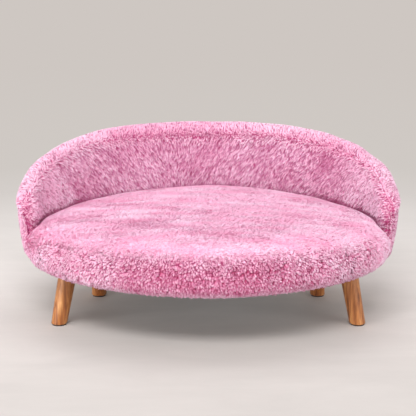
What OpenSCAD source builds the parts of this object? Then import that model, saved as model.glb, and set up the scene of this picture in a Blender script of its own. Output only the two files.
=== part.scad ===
// Oval pet sofa bed: a padded C-shaped back round a lift-out oval cushion, on four splayed wooden legs.
// Millimetres, +Z up. The origin is on the floor under the middle of the outer size; +Y is the rear.

/* [Back] */
// Outer half width of the back, at the height where it is fullest
back_half_w = 425; // [421:0.5:429]
// Outer half depth of the whole bed
half_d = 330; // [327:0.5:333]
// Height of the back's crest at the rear
back_h = 384; // [376:0.5:392]
// Height that the crest would reach at the very ends of the arms
arm_h = 267; // [262:0.5:272]
// How late the crest falls toward the arms (higher keeps it up longer)
crest_power = 1.52; // [1.45:0.01:1.6]
// Thickness of the padded wall at the arms
arm_thick = 50; // [49:0.5:51]
// Thickness of the padded wall at the rear
rear_thick = 60; // [58:0.5:62]
// Length of the rounded nose that closes each arm
nose_len = 34; // [32:0.5:36]
// Height of the lowest edge of the back's cover
skirt_z = 125; // [124.5:0.25:125.5]
// How far the outer face draws in at its foot
tuck_in = 15; // [14:0.25:16]
// Height below which the outer face draws in
tuck_z = 235; // [231:0.5:239]
// How far the inner face kicks inward at the deck
kick_in = 13; // [12:0.25:14]
// Height below which the inner face kicks inward
kick_z = 190; // [187:0.5:193]
// Outward slope of the arms above the drawn-in part
flare_slope = 0.18; // [0.15:0.01:0.21]

/* [Cushion] */
// How far the cushion's sides stand in from the back's sides, at the front
seat_side_in = 22; // [19:0.5:25]
// How far the cushion's widest line lies in front of the bed's middle
seat_mid_in = 28; // [26:0.5:30]
// Roundness of the front outline (2 is an ellipse)
seat_power = 1.83; // [1.8:0.01:1.9]
// Height of the cushion's crown
seat_h = 240; // [236:0.5:244]
// Fall of the crown from the middle to the sides
crown_fall = 28; // [25:0.5:31]
// Extra fall of the crown toward the front
front_fall = 8; // [6:0.5:10]
// Height at which the front rim is fullest
bulge_z = 166; // [163:0.5:169]
// Height at which the rear edge is fullest
rear_bulge_z = 200; // [197:0.5:203]
// Width of the rounded upper edge at the front
front_roll = 85; // [80:0.5:90]
// Width of the rounded upper edge at the rear
rear_roll = 45; // [42:0.5:48]
// Width of the rounded lower edge
lower_roll = 40; // [38:0.5:42]
// Width of the rim that hangs over the base's edge
rim_w = 46; // [45:0.25:47]
// Thickness of the fibre layer on the foam
fibre_t = 20; // [16:0.5:24]

/* [Base] */
// Height of the base board's underside
board_z = 126; // [125.75:0.25:126.5]
// Thickness of the base board
board_t = 18; // [17.5:0.25:18]
// Thickness of the fabric over the base board
deck_t = 1.5; // [1.2:0.1:1.6]
// Thickness of the cloth under the base board
dust_t = 0.6; // [0.5:0.05:0.8]
// Thickness of the plush and its backing
cover_t = 2.5; // [2.2:0.1:2.8]
// Distance of the board's edge from the back's fullest outline
board_edge = 31; // [30.75:0.25:31.5]

/* [Frame of the back] */
// Height of the curved rail
rail_h = 30; // [28:0.5:31]
// Width of the curved rail
rail_w = 18; // [17:0.25:18.25]
// Thickness of the bent panel
panel_t = 6; // [5.5:0.25:6]
// Length of the bolts that hold the back
back_bolt_len = 42; // [40:0.5:43]
// Shank of the bolts that hold the back
back_bolt_d = 6; // [5.9:0.05:6.1]
// Outside of the insert nuts in the rail
insert_d = 9.5; // [9.3:0.1:9.7]

/* [Legs] */
// How far the front feet stand in from the cushion's side
front_foot_in_x = 78; // [74:0.5:82]
// How far the front feet stand in from the bed's front
front_foot_in_y = 235; // [232:0.5:238]
// How far the rear feet stand in from the back's side
rear_foot_in_x = 168; // [164:0.5:172]
// How far the rear feet stand in from the bed's rear
rear_foot_in_y = 216; // [212:0.5:220]
// Leg diameter at the foot
foot_d = 34; // [33:0.25:35]
// Leg diameter at the top
leg_top_d = 40; // [39:0.25:41]
// Sideways lean of the front legs, degrees
front_lean_x_deg = 10.7; // [10:0.1:11.5]
// Forward lean of the front legs, degrees
front_lean_y_deg = 4; // [3:0.1:5]
// Sideways lean of the rear legs, degrees
rear_lean_x_deg = 4.5; // [4:0.1:5]
// Rearward lean of the rear legs, degrees
rear_lean_y_deg = 9; // [8:0.1:10]
// Side of the square leg plate
plate_w = 48; // [47:0.5:49]
// Thickness of the leg plate
plate_t = 3; // [2.5:0.1:3]
// Shank of the hanger bolts
hanger_d = 8; // [7.9:0.05:8.1]
// Thickness of the glides under the feet
glide_t = 2.5; // [2:0.1:3]

/* [Zip] */
// Length of the zip's chain
zip_len = 380; // [370:1:390]
// Width of the zip's tape
tape_w = 32; // [30:0.5:34]
// Rearward place of the zip
zip_y = 60; // [55:0.5:65]

/* [Hidden] */
// Shared clearances and the one overrun of cutting bodies
gap = 0.3;
seat_gap = 1.5;
edge_gap = 0.6;
overrun = 1;

// Derived heights
board_top = board_z + board_t;
deck_z = board_top + deck_t;
wall_foot_z = deck_z + gap;
rail_z = wall_foot_z + cover_t + gap;
rail_top = rail_z + rail_h;
plate_z = board_z - plate_t;
seat_foot_z = deck_z + gap;

// Outline of the back: an ellipse, walked by its angle t from one arm end to the other
arm_end_angle = 3;
main_steps = 34;
half_turn_deg = 180;
main_span_deg = half_turn_deg - 2 * arm_end_angle;
main_angles = [for (i = [0:main_steps]) arm_end_angle + i * main_span_deg / main_steps];
nose_angles = [82, 64, 43, 22];
inner_nose_angles = [64, 43, 22];
nose_drop_share = 1.5;
nose_lift_share = 0.25;
arc_outer_angles = [0, 30, 60, 90, 120, 150, 180];
arc_inner_angles = [0, 60, 120, 180];
skirt_step = 9;
skirt_chamfer = 7;
inner_chamfer_share = 0.1;
low_z = 165;
mid_z = 205;
notch_u = board_edge - edge_gap;

function share(v) = max(0, min(1, v));
function smooth(v) = let (s = share(v)) s * s * (3 - 2 * s);
function mix(p, q, k) = p * (1 - k) + q * k;
function on_ellipse(t) = [back_half_w * cos(t), half_d * sin(t)];
function out_dir(t) = let (n = [cos(t) / back_half_w, sin(t) / half_d]) n / norm(n);
function along(t) = let (n = out_dir(t)) [-n[1], n[0]];
function crest_z(t) = back_h - (back_h - arm_h) * pow(1 - max(0, sin(t)), crest_power);
function thick(t) = arm_thick + (rear_thick - arm_thick) * max(0, sin(t));
function flare(t, z) = flare_slope * pow(cos(t), 2) * max(z - tuck_z, 0);
function outer_u(t, z) = tuck_in * pow(share((tuck_z - z) / (tuck_z - skirt_z)), 2) - flare(t, z);
function inner_u(t, z) = thick(t) + kick_in * share((kick_z - z) / (kick_z - wall_foot_z)) - flare(t, z);

// A section point [u, z] of the wall at angle t: u is measured inward from the outline. A nose section is
// drawn in about the wall's middle by the factor k and moved along the outline by adv.
function wall_point(t, uz, k = 1, adv = 0) =
    let (
        mid = (outer_u(t, uz[1]) + thick(t) + outer_u(t, uz[1])) / 2,
        u = mid + (uz[0] - mid) * k,
        top = crest_z(t),
        sink = (1 - k) * nose_len * nose_drop_share * share((uz[1] - mid_z) / (top - mid_z)),
        lift = (1 - k) * nose_len * nose_lift_share * share((low_z - uz[1]) / (low_z - skirt_z)),
        p = on_ellipse(t) - out_dir(t) * u + along(t) * adv
    )
    [p[0], p[1], uz[1] - sink + lift];

// Section of the cover, inset by d
function cover_section(t, d, arcs) =
    let (
        r = thick(t) / 2 - d,
        top = crest_z(t) - d,
        foot = skirt_z + (d > 0 ? skirt_step : 0),
        deck = wall_foot_z + d,
        arc_z = top - r,
        step = d > 0 ? d : skirt_step
    )
    concat(
        [
            [outer_u(t, foot) + skirt_chamfer * (d > 0 ? inner_chamfer_share : 1) + d, foot],
            [outer_u(t, foot + step) + d, foot + step],
            [outer_u(t, low_z) + d, low_z],
            [outer_u(t, mid_z) + d, mid_z]
        ],
        [for (a = arcs) [outer_u(t, arc_z) + thick(t) / 2 - r * cos(a), arc_z + r * sin(a)]],
        [
            [inner_u(t, kick_z) - d, kick_z],
            [inner_u(t, wall_foot_z) - d, deck],
            [notch_u - d, deck],
            [notch_u - d, foot]
        ]
    );

// Rings of a swept body from its sections: the first arm's nose, the main run, the other arm's nose
function nose_ring(t, section, turn, length, side) =
    [for (p = section) wall_point(t, p, cos(turn), side * length * sin(turn))];
function wall_rings(d, arcs, turns, length) = concat(
    [for (a = turns) nose_ring(main_angles[0], cover_section(main_angles[0], d, arcs), a, length, -1)],
    [for (t = main_angles) [for (p = cover_section(t, d, arcs)) wall_point(t, p)]],
    [for (i = [len(turns) - 1:-1:0])
        let (t = main_angles[main_steps])
        nose_ring(t, cover_section(t, d, arcs), turns[i], length, 1)]
);

// Flat list of the points of all rings
function flat(rings) = [for (r = rings) for (p = r) p];
// Triangles of a closed tube of n rings with k points each, and of its two end caps. A piece that lies
// between two others takes the other diagonal, so that their faces run side by side
function tube_faces(n, k, between) = [
    for (i = [0:n - 2]) for (j = [0:k - 1])
        let (a = i * k + j, b = i * k + (j + 1) % k, c = a + k, e = b + k)
        for (f = between ? [[a, b, c], [b, e, c]] : [[a, b, e], [a, e, c]]) f
];
function cap_faces(k, base, flip) =
    let (m = floor(k / 2))
    concat(
        [
            for (j = [0:m - 2])
                let (a = base + j, b = base + j + 1, c = base + k - 1 - j, e = base + k - 2 - j)
                for (f = flip ? [[a, c, b], [b, c, e]] : [[a, b, c], [b, e, c]]) f
        ],
        k % 2 == 0 ? []
            : flip ? [[base + m - 1, base + m + 1, base + m]] : [[base + m - 1, base + m, base + m + 1]]
    );
function solid_faces(n, k, between) = concat(
    tube_faces(n, k, between), cap_faces(k, 0, true), cap_faces(k, (n - 1) * k, false)
);
module swept(rings, between = false) {
    polyhedron(points = flat(rings), faces = solid_faces(len(rings), len(rings[0]), between), convexity = 10);
}

// Padded wall: the panel and the two foams follow the cover
panel_inset = 6.4;
panel_u = notch_u - panel_inset;
panel_lean_z = 215;
panel_foot_z = rail_z + gap;
panel_drop = 26;
foam_gap = cover_t + 2 * gap;
rail_u = panel_u + panel_t + gap;
rail_angles = [for (i = [3:main_steps - 3]) main_angles[i]];
foam_foot_z = skirt_z + skirt_step + cover_t + gap;
panel_angles = [for (i = [1:main_steps - 1]) main_angles[i]];

function panel_out(t, z) = mix(
    panel_u,
    thick(t) / 2 - panel_t / 2,
    share((z - rail_top - gap) / (panel_lean_z - rail_top - gap))
) - flare(t, z);
function panel_top(t) = crest_z(t) - panel_drop;
function panel_section(t) =
    let (levels = [panel_foot_z, rail_top + gap, panel_lean_z, panel_top(t)])
    concat(
        [for (z = levels) [panel_out(t, z), z]],
        [for (i = [3:-1:0]) [panel_out(t, levels[i]) + panel_t, levels[i]]]
    );

// Outer foam: from the foot of the skirt up over the outer half of the crest
function foam_out_section(t) =
    let (
        d = foam_gap,
        r = thick(t) / 2 - d,
        top = crest_z(t) - d,
        arc_z = top - r,
        mid = outer_u(t, arc_z) + thick(t) / 2
    )
    concat(
        [
            [outer_u(t, foam_foot_z) + d, foam_foot_z],
            [outer_u(t, low_z) + d, low_z],
            [outer_u(t, mid_z) + d, mid_z],
            [mid - r, arc_z],
            [mid - r * cos(60), arc_z + r * sin(60)]
        ],
        [
            [mid - gap, arc_z + r * sin(60)],
            [mid - gap, panel_top(t) + gap],
            [panel_out(t, panel_top(t)) - gap, panel_top(t) + gap],
            [panel_out(t, panel_lean_z) - gap, panel_lean_z],
            [panel_out(t, rail_top) - gap, rail_top],
            [panel_u - gap, foam_foot_z]
        ]
    );

// Inner foam: from the rail up over the inner half of the crest
function foam_in_section(t) =
    let (
        d = foam_gap,
        r = thick(t) / 2 - d,
        arc_z = crest_z(t) - d - r,
        mid = outer_u(t, arc_z) + thick(t) / 2,
        rail_in = rail_u + rail_w
    )
    [
        [rail_in + gap, panel_foot_z],
        [rail_in + gap, rail_top + 2 * gap],
        [panel_out(t, panel_lean_z) + panel_t + gap, panel_lean_z],
        [panel_out(t, panel_top(t)) + panel_t + gap, panel_top(t) + gap],
        [mid + gap, panel_top(t) + gap],
        [mid + gap, arc_z + r * sin(60)],
        [mid + r * cos(60), arc_z + r * sin(60)],
        [mid + r, arc_z],
        [inner_u(t, kick_z) - d, kick_z],
        [inner_u(t, panel_foot_z) - d, panel_foot_z]
    ];

// Plan curves of the flat bodies: offset u from the outline, from the first angle to the last
function run(u, t0, t1, steps) =
    [for (i = [0:steps]) let (t = mix(t0, t1, i / steps)) on_ellipse(t) - out_dir(t) * u];
function back_order(list) = [for (i = [len(list) - 1:-1:0]) list[i]];

// Outline of the cushion, about the point seat_c
seat_half_w = back_half_w - seat_side_in;
seat_front_d = half_d - seat_mid_in;
seat_c_y = seat_front_d - half_d;
seat_c = [0, seat_c_y];
shoulder_from_angle = -3.5;
shoulder_to_angle = 3.5;
rim_from_angle = -11;
rim_to_angle = -4;
front_angles = [for (i = [0:9]) -90 + i * 8.3];
shoulder_angles = [-12, -9, -6.5, -4.5, -2.5, -0.5, 1.5, 3.5];
rear_angles = [for (i = [0:10]) 4 + i * 8.6];
function front_r(a) =
    pow(pow(abs(cos(a)) / seat_half_w, seat_power) + pow(abs(sin(a)) / seat_front_d, seat_power),
        -1 / seat_power);
// Distance from seat_c to the ellipse just inside the arms, in the direction a
function side_r(a) =
    let (
        ax = back_half_w - arm_thick - seat_gap,
        by = half_d - rear_thick - seat_gap,
        qa = pow(cos(a) / ax, 2) + pow(sin(a) / by, 2),
        qb = 2 * seat_c_y * sin(a) / pow(by, 2),
        qc = pow(seat_c_y / by, 2) - 1
    )
    (-qb + sqrt(qb * qb - 4 * qa * qc)) / (2 * qa);
function shoulder(a) = smooth((a - shoulder_from_angle) / (shoulder_to_angle - shoulder_from_angle));
function rim_off(a) = smooth((a - rim_from_angle) / (rim_to_angle - rim_from_angle));
// Right half of the outline as [x, y, rear share, rim-off share]
function seat_right() = concat(
    [for (a = concat(front_angles, shoulder_angles))
        let (r = mix(front_r(a), side_r(a), shoulder(a)))
        [r * cos(a), seat_c_y + r * sin(a), shoulder(a), rim_off(a)]],
    [for (t = rear_angles)
        let (p = on_ellipse(t) - out_dir(t) * (thick(t) + seat_gap))
        [p[0], p[1], 1, 1]]
);
seat_half = seat_right();
half_n = len(seat_half);
seat_outline = concat(
    seat_half,
    [for (i = [half_n - 2:-1:1]) [-seat_half[i][0], seat_half[i][1], seat_half[i][2], seat_half[i][3]]]
);
seat_n = len(seat_outline);

// Height of the crown over the plan point p
fall_share = 0.9;
fall_power = 1.8;
function crown_z(p) =
    seat_h - crown_fall * pow(abs(p[0]) / (fall_share * back_half_w), fall_power)
    - front_fall * pow(share(-p[1] / half_d), 2);
roll_power = 0.9;
// Point of the cushion's surface at outline point o: a is the turn from the fullest height (0) to the top
// (90) or the foot (-90); d is the inset and cut lowers the top
function seat_point(o, a, d, cut = 0) =
    let (
        dir = ([o[0], o[1]] - seat_c) / norm([o[0], o[1]] - seat_c),
        full_z = mix(bulge_z, rear_bulge_z, o[2]),
        roll = (a >= 0 ? mix(front_roll, rear_roll, o[2]) : lower_roll) - d,
        c = pow(abs(cos(a)), roll_power),
        s = pow(abs(sin(a)), roll_power),
        p = [o[0], o[1]] - dir * (d + roll * (1 - c)),
        foot = mix(skirt_z, seat_foot_z, o[3]) + d,
        z = a >= 0 ? mix(full_z, crown_z(p) - d - cut, s) : mix(full_z, foot, s)
    )
    [p[0], p[1], z];
// Points of the crown, at a share of the way from the middle to the upper roll
function crown_point(o, k, d, cut = 0) =
    let (
        e = seat_point(o, 90, d, cut),
        p = mix(seat_c, [e[0], e[1]], k)
    )
    [p[0], p[1], crown_z(p) - d - cut];
// Points of the underside: the rim's inner foot, its inner top, then the flat
rim_slope = 2;
function rim_point(o, upper, d) =
    let (
        dir = ([o[0], o[1]] - seat_c) / norm([o[0], o[1]] - seat_c),
        p = [o[0], o[1]] - dir * (rim_w - d + (upper ? rim_slope : 0)),
        z = upper ? seat_foot_z + d : mix(skirt_z, seat_foot_z, o[3]) + d
    )
    [p[0], p[1], z];

function seat_levels(crowns, turns, d, cut = 0, rim = true) = concat(
    [for (k = crowns) [for (o = seat_outline) crown_point(o, k, d, cut)]],
    [for (a = turns) [for (o = seat_outline) seat_point(o, a, d, cut)]],
    rim ? [for (up = [false, true]) [for (o = seat_outline) rim_point(o, up, d)]] : []
);

// Closed body from levels of n points, with a pole at each end
function level_faces(m, n, base = 0) = concat(
    [for (j = [0:n - 1]) [base, base + 1 + (j + 1) % n, base + 1 + j]],
    [
        for (i = [0:m - 2]) for (j = [0:n - 1])
            let (
                a = base + 1 + i * n + j,
                b = base + 1 + i * n + (j + 1) % n,
                c = a + n,
                e = b + n
            )
            for (f = [[a, b, e], [a, e, c]]) f
    ],
    [for (j = [0:n - 1]) [base + 1 + m * n, base + 1 + (m - 1) * n + j, base + 1 + (m - 1) * n + (j + 1) % n]]
);
function level_points(levels, z_top, z_foot) =
    concat([[seat_c[0], seat_c[1], z_top]], flat(levels), [[seat_c[0], seat_c[1], z_foot]]);

// Base outline: the front follows the cushion's rim, the ears and the rear follow the back's skirt
ear_angles = [10, 35, 60, 80];
ear_len = 12;
rim_clear = 1.5;
board_angles = concat(front_angles, [-12.5, -10, -8, -6, -4]);
function board_front(grow) = [for (a = board_angles)
    let (r = front_r(a) - rim_w - rim_slope - rim_clear - deck_t + grow) [r * cos(a), seat_c_y + r * sin(a)]];
function ear(u, grow) = [for (i = [len(ear_angles) - 1:-1:0])
    let (
        t = main_angles[0],
        mid = (outer_u(t, board_top) * 2 + thick(t)) / 2 + kick_in / 2,
        w = mid + (u - mid) * cos(ear_angles[i])
    )
    on_ellipse(t) - out_dir(t) * w - along(t) * (ear_len + grow) * sin(ear_angles[i])];
function board_half(grow) =
    let (u = board_edge + deck_t - grow)
    concat(board_front(grow), ear(u, grow), run(u, arm_end_angle, 90, 20));
function mirrored(list) = [for (i = [len(list) - 2:-1:1]) [-list[i][0], list[i][1]]];
function base_outline(grow) = let (h = board_half(grow)) concat(h, mirrored(h));
board_outline = base_outline(0);

// Places of the fasteners
back_bolt_angles = [21.5, 44, 67, 90, 113, 136, 158.5];
panel_screw_angles = [26, 34, 55, 78, 102, 125, 146, 154];
bolt_u = rail_u + rail_w / 2;
function at_u(t, u) = on_ellipse(t) - out_dir(t) * u;

// Fastener sizes
bolt_clear = 0.4;
washer_d = 14;
washer_t = 1.5;
head_d = 10;
head_h = 5;
socket_d = 5;
socket_h = 2.6;
insert_len = 15;
insert_gap = 0.2;
screw_d = 4;
screw_len = 17;
screw_head_d = 8;
screw_head_h = 2.4;
screw_clear = 0.4;
plate_screw_len = 12;
plate_screw_at = 18;
panel_screw_drop = 8;
panel_screw_z = rail_top - panel_screw_drop;
hanger_up = 13;
hanger_down = 38;
boss_d = 14;
boss_h = 10;
pocket_d = 24;
pocket_h = 14;
foot_chamfer = 1.5;
glide_d = 30;
plate_r = 6;
staple_w = 9;
staple_wire = 1;
staple_leg = 5;
dust_inset = 34;
staple_inset = 6;

// Leg places: [foot x, foot y, lean x, lean y], with the signs of the corner
front_foot_x = seat_half_w - front_foot_in_x;
front_foot_y = half_d - front_foot_in_y;
rear_foot_x = back_half_w - rear_foot_in_x;
rear_foot_y = half_d - rear_foot_in_y;
leg_front_left_at = [-front_foot_x, -front_foot_y, -front_lean_x_deg, -front_lean_y_deg];
leg_front_right_at = [front_foot_x, -front_foot_y, front_lean_x_deg, -front_lean_y_deg];
leg_rear_left_at = [-rear_foot_x, rear_foot_y, -rear_lean_x_deg, rear_lean_y_deg];
leg_rear_right_at = [rear_foot_x, rear_foot_y, rear_lean_x_deg, rear_lean_y_deg];
leg_places = [leg_front_left_at, leg_front_right_at, leg_rear_left_at, leg_rear_right_at];
leg_h = plate_z - glide_t;
function leg_top(g) = [g[0] - leg_h * tan(g[2]), g[1] - leg_h * tan(g[3])];
function leg_dir(g) = let (v = [-tan(g[2]), -tan(g[3]), 1]) v / norm(v);

// Turns a body that points up so that it points along v, then puts it at p
module aim(p, v) {
    translate(p) rotate(a = acos(v[2] / norm(v)), v = [-v[1], v[0], 0]) children();
}

module along_leg(g) {
    aim([leg_top(g)[0], leg_top(g)[1], plate_z], leg_dir(g)) children();
}

most_lean_deg = 12;
leg_slant = leg_h / cos(most_lean_deg);
module leg(g) {
    taper = (leg_top_d - foot_d) / leg_slant;
    color([0.62, 0.42, 0.27])
    difference() {
        intersection() {
            along_leg(g)
                translate([0, 0, -leg_slant - foot_d])
                    cylinder(
                        h = leg_slant + foot_d + leg_top_d,
                        d1 = foot_d - taper * foot_d,
                        d2 = leg_top_d + taper * leg_top_d,
                        $fn = 96
                    );
            translate([g[0], g[1], glide_t])
                cylinder(h = leg_h, d1 = foot_d - 2 * foot_chamfer, d2 = foot_d + 2 * leg_h, $fn = 96);
        }
        along_leg(g)
            translate([0, 0, -hanger_down - gap])
                cylinder(h = hanger_down + leg_top_d, d = hanger_d + gap, $fn = 48);
    }
}

module leg_front_left() { leg(leg_front_left_at); }
module leg_front_right() { leg(leg_front_right_at); }
module leg_rear_left() { leg(leg_rear_left_at); }
module leg_rear_right() { leg(leg_rear_right_at); }

module rounded_plate() {
    side = plate_w - 2 * plate_r;
    translate([-plate_w / 2, -side / 2, 0]) cube([plate_w, side, plate_t]);
    translate([-side / 2, -plate_w / 2, 0]) cube([side, plate_w, plate_t]);
    for (x = [-1, 1]) for (y = [-1, 1])
        translate([x * side / 2, y * side / 2, 0]) cylinder(h = plate_t, r = plate_r, $fn = 48);
}

module plate(g) {
    p = leg_top(g);
    color([0.7, 0.7, 0.72])
    difference() {
        union() {
            translate([p[0], p[1], plate_z]) rounded_plate();
            intersection() {
                along_leg(g)
                    translate([0, 0, -boss_h]) cylinder(h = 3 * boss_h, d = boss_d, $fn = 64);
                translate([p[0], p[1], plate_z + plate_t / 2])
                    cylinder(h = boss_h + plate_t / 2, d = pocket_d, $fn = 64);
            }
        }
        along_leg(g) translate([0, 0, -boss_d]) cylinder(h = 3 * boss_d, d = hanger_d + gap, $fn = 48);
        for (x = [-1, 1]) for (y = [-1, 1])
            translate([p[0] + x * plate_screw_at, p[1] + y * plate_screw_at, plate_z - overrun])
                cylinder(h = plate_t + 2 * overrun, d = screw_d + screw_clear, $fn = 48);
    }
}

module leg_plate_front_left() { plate(leg_front_left_at); }
module leg_plate_front_right() { plate(leg_front_right_at); }
module leg_plate_rear_left() { plate(leg_rear_left_at); }
module leg_plate_rear_right() { plate(leg_rear_right_at); }

module glide(g) {
    color([0.15, 0.13, 0.12])
    translate([g[0], g[1], 0]) cylinder(h = glide_t, d = glide_d, $fn = 96);
}

module glide_front_left() { glide(leg_front_left_at); }
module glide_front_right() { glide(leg_front_right_at); }
module glide_rear_left() { glide(leg_rear_left_at); }
module glide_rear_right() { glide(leg_rear_right_at); }

module hanger_bolts() {
    color([0.75, 0.75, 0.77])
    for (g = leg_places)
        along_leg(g)
            translate([0, 0, -hanger_down])
                cylinder(h = hanger_down + hanger_up, d = hanger_d, $fn = 48);
}

module plate_screw() {
    translate([0, 0, -screw_head_h]) cylinder(h = screw_head_h, d = screw_head_d, $fn = 48);
    cylinder(h = plate_t + plate_screw_len, d = screw_d, $fn = 48);
}

module leg_plate_screws() {
    color([0.75, 0.75, 0.77])
    for (g = leg_places) for (x = [-1, 1]) for (y = [-1, 1])
        let (p = leg_top(g))
        translate([p[0] + x * plate_screw_at, p[1] + y * plate_screw_at, plate_z]) plate_screw();
}

// Outline of the cloth under the board, and staple places at chosen corners of it
dust_outline = [for (p = board_outline) seat_c + (p - seat_c) * (1 - dust_inset / norm(p - seat_c))];
staple_index = [0, 2, 4, 6, 8, 21, 24, 27, 30, 33, 36, 39];
staple_at = [for (j = staple_index) for (side = abs(board_outline[j][0]) < gap ? [1] : [-1, 1])
    let (
        v = dust_outline[j] - seat_c,
        q = seat_c + v * (1 - staple_inset / norm(v))
    )
    [[side * q[0], q[1]], atan2(v[1], side * v[0])]];

module staple_legs(extra) {
    w = staple_wire + extra;
    h = staple_wire + dust_t + staple_leg + extra;
    for (s = staple_at)
        translate([s[0][0], s[0][1], board_z - dust_t - staple_wire])
            rotate(s[1])
                for (y = [-1, 1])
                    translate([-w / 2, (y * (staple_w - staple_wire) - w) / 2, 0])
                        cube([w, w, h]);
}

module dust_cover_staples() {
    color([0.7, 0.7, 0.72]) {
        staple_legs(0);
        for (s = staple_at)
            translate([s[0][0], s[0][1], board_z - dust_t - staple_wire])
                rotate(s[1])
                    translate([-staple_wire / 2, -staple_w / 2, 0])
                        cube([staple_wire, staple_w, staple_wire]);
    }
}

plate_window = 1;
module dust_cover() {
    color([0.08, 0.08, 0.09])
    difference() {
        translate([0, 0, board_z - dust_t]) linear_extrude(dust_t) polygon(dust_outline);
        for (g = leg_places)
            translate([leg_top(g)[0], leg_top(g)[1], board_z - dust_t - overrun])
                linear_extrude(dust_t + 2 * overrun)
                    square(plate_w + 2 * plate_window, center = true);
        staple_legs(gap);
    }
}

module board_bores() {
    for (t = back_bolt_angles)
        translate([at_u(t, bolt_u)[0], at_u(t, bolt_u)[1], board_z - overrun])
            cylinder(h = board_t + deck_t + cover_t + 3 * overrun, d = back_bolt_d + bolt_clear, $fn = 48);
}

module base_board() {
    color([0.8, 0.68, 0.5])
    difference() {
        translate([0, 0, board_z]) linear_extrude(board_t) polygon(board_outline);
        board_bores();
        for (g = leg_places) {
            p = leg_top(g);
            translate([p[0], p[1], board_z - overrun])
                cylinder(h = pocket_h + overrun, d = pocket_d, $fn = 64);
            for (x = [-1, 1]) for (y = [-1, 1])
                translate([p[0] + x * plate_screw_at, p[1] + y * plate_screw_at, board_z - overrun])
                    cylinder(
                        h = plate_screw_len + overrun + gap,
                        d = screw_d + screw_clear / 2,
                        $fn = 48
                    );
        }
        staple_legs(gap);
    }
}

module deck_cover() {
    color([0.9, 0.62, 0.76])
    difference() {
        translate([0, 0, board_z]) linear_extrude(board_t + deck_t) polygon(base_outline(deck_t));
        translate([0, 0, board_z - overrun]) linear_extrude(board_t + overrun) polygon(board_outline);
        board_bores();
    }
}

function rail_outline() = concat(
    [for (t = rail_angles) at_u(t, rail_u)],
    back_order([for (t = rail_angles) at_u(t, rail_u + rail_w)])
);

// A body that points outward through the panel at angle t, from its outer face
module through_panel(t) {
    p = at_u(t, panel_u);
    n = out_dir(t);
    aim([p[0], p[1], panel_screw_z], [-n[0], -n[1], 0]) children();
}

module back_rail() {
    color([0.8, 0.68, 0.5])
    difference() {
        translate([0, 0, rail_z]) linear_extrude(rail_h) polygon(rail_outline());
        for (t = back_bolt_angles) {
            p = at_u(t, bolt_u);
            translate([p[0], p[1], rail_z - overrun])
                cylinder(h = insert_len + insert_gap + overrun, d = insert_d + insert_gap, $fn = 48);
            translate([p[0], p[1], rail_z])
                cylinder(
                    h = back_bolt_len - (rail_z - board_z) + gap,
                    d = back_bolt_d + bolt_clear,
                    $fn = 48
                );
        }
        for (t = panel_screw_angles)
            through_panel(t) cylinder(h = screw_len + gap, d = screw_d + screw_clear / 2, $fn = 48);
    }
}

module back_panel() {
    color([0.8, 0.68, 0.5])
    difference() {
        swept([for (t = panel_angles) [for (p = panel_section(t)) wall_point(t, p)]], between = true);
        for (t = panel_screw_angles)
            through_panel(t) {
                translate([0, 0, -overrun])
                    cylinder(h = panel_t + 2 * overrun, d = screw_d + screw_clear, $fn = 48);
                translate([0, 0, -overrun])
                    cylinder(h = overrun + screw_head_h + gap, d = screw_head_d + screw_clear, $fn = 48);
            }
    }
}

module back_panel_screws() {
    color([0.75, 0.75, 0.77])
    for (t = panel_screw_angles)
        through_panel(t) {
            translate([0, 0, gap]) cylinder(h = screw_head_h - gap, d = screw_head_d, $fn = 48);
            translate([0, 0, gap]) cylinder(h = screw_len - gap, d = screw_d, $fn = 48);
        }
}

module back_bolts() {
    color([0.75, 0.75, 0.77])
    for (t = back_bolt_angles) {
        p = at_u(t, bolt_u);
        difference() {
            translate([p[0], p[1], board_z - washer_t - head_h]) {
                cylinder(h = head_h, d = head_d, $fn = 48);
                cylinder(h = head_h + washer_t + back_bolt_len, d = back_bolt_d, $fn = 48);
            }
            translate([p[0], p[1], board_z - washer_t - head_h - overrun])
                cylinder(h = socket_h + overrun, d = socket_d, $fn = 6);
        }
    }
}

module back_bolt_washers() {
    color([0.75, 0.75, 0.77])
    for (t = back_bolt_angles) {
        p = at_u(t, bolt_u);
        translate([p[0], p[1], board_z - washer_t])
            difference() {
                cylinder(h = washer_t, d = washer_d, $fn = 64);
                translate([0, 0, -overrun])
                    cylinder(h = washer_t + 2 * overrun, d = back_bolt_d + bolt_clear, $fn = 48);
            }
    }
}

module back_insert_nuts() {
    color([0.8, 0.7, 0.4])
    for (t = back_bolt_angles) {
        p = at_u(t, bolt_u);
        translate([p[0], p[1], rail_z])
            difference() {
                cylinder(h = insert_len, d = insert_d, $fn = 48);
                translate([0, 0, -overrun])
                    cylinder(h = insert_len + 2 * overrun, d = back_bolt_d + gap, $fn = 48);
            }
    }
}

module back_foam_inner() {
    color([0.93, 0.9, 0.78])
    swept([for (t = main_angles) [for (p = foam_in_section(t)) wall_point(t, p)]]);
}

module back_foam_outer() {
    color([0.93, 0.9, 0.78])
    swept([for (t = main_angles) [for (p = foam_out_section(t)) wall_point(t, p)]]);
}

module back_cover() {
    color([0.9, 0.63, 0.76])
    difference() {
        swept(wall_rings(0, arc_outer_angles, nose_angles, nose_len));
        swept(wall_rings(cover_t, arc_inner_angles, inner_nose_angles, nose_len));
        for (t = back_bolt_angles)
            translate([at_u(t, bolt_u)[0], at_u(t, bolt_u)[1], wall_foot_z - overrun])
                cylinder(h = cover_t + 2 * overrun, d = back_bolt_d + bolt_clear, $fn = 24);
    }
}

// Zip: the tape lies over a slot in the cover's underside and the chain hangs under the tape
slot_w = 14;
slot_end = 4;
tape_t = 0.8;
tape_end = 3;
chain_w = 5;
chain_t = 1.1;
tooth_pitch = 5;
tooth_gap = 0.6;
slider_w = 10;
slider_l = 14;
slider_wall = 1.2;
stop_l = 4;
tape_z = seat_foot_z + cover_t + gap / 3;
slot_len = zip_len + 2 * slot_end + 2 * stop_l;
chain_z = tape_z - chain_t;
slider_z = seat_foot_z + gap;

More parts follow.
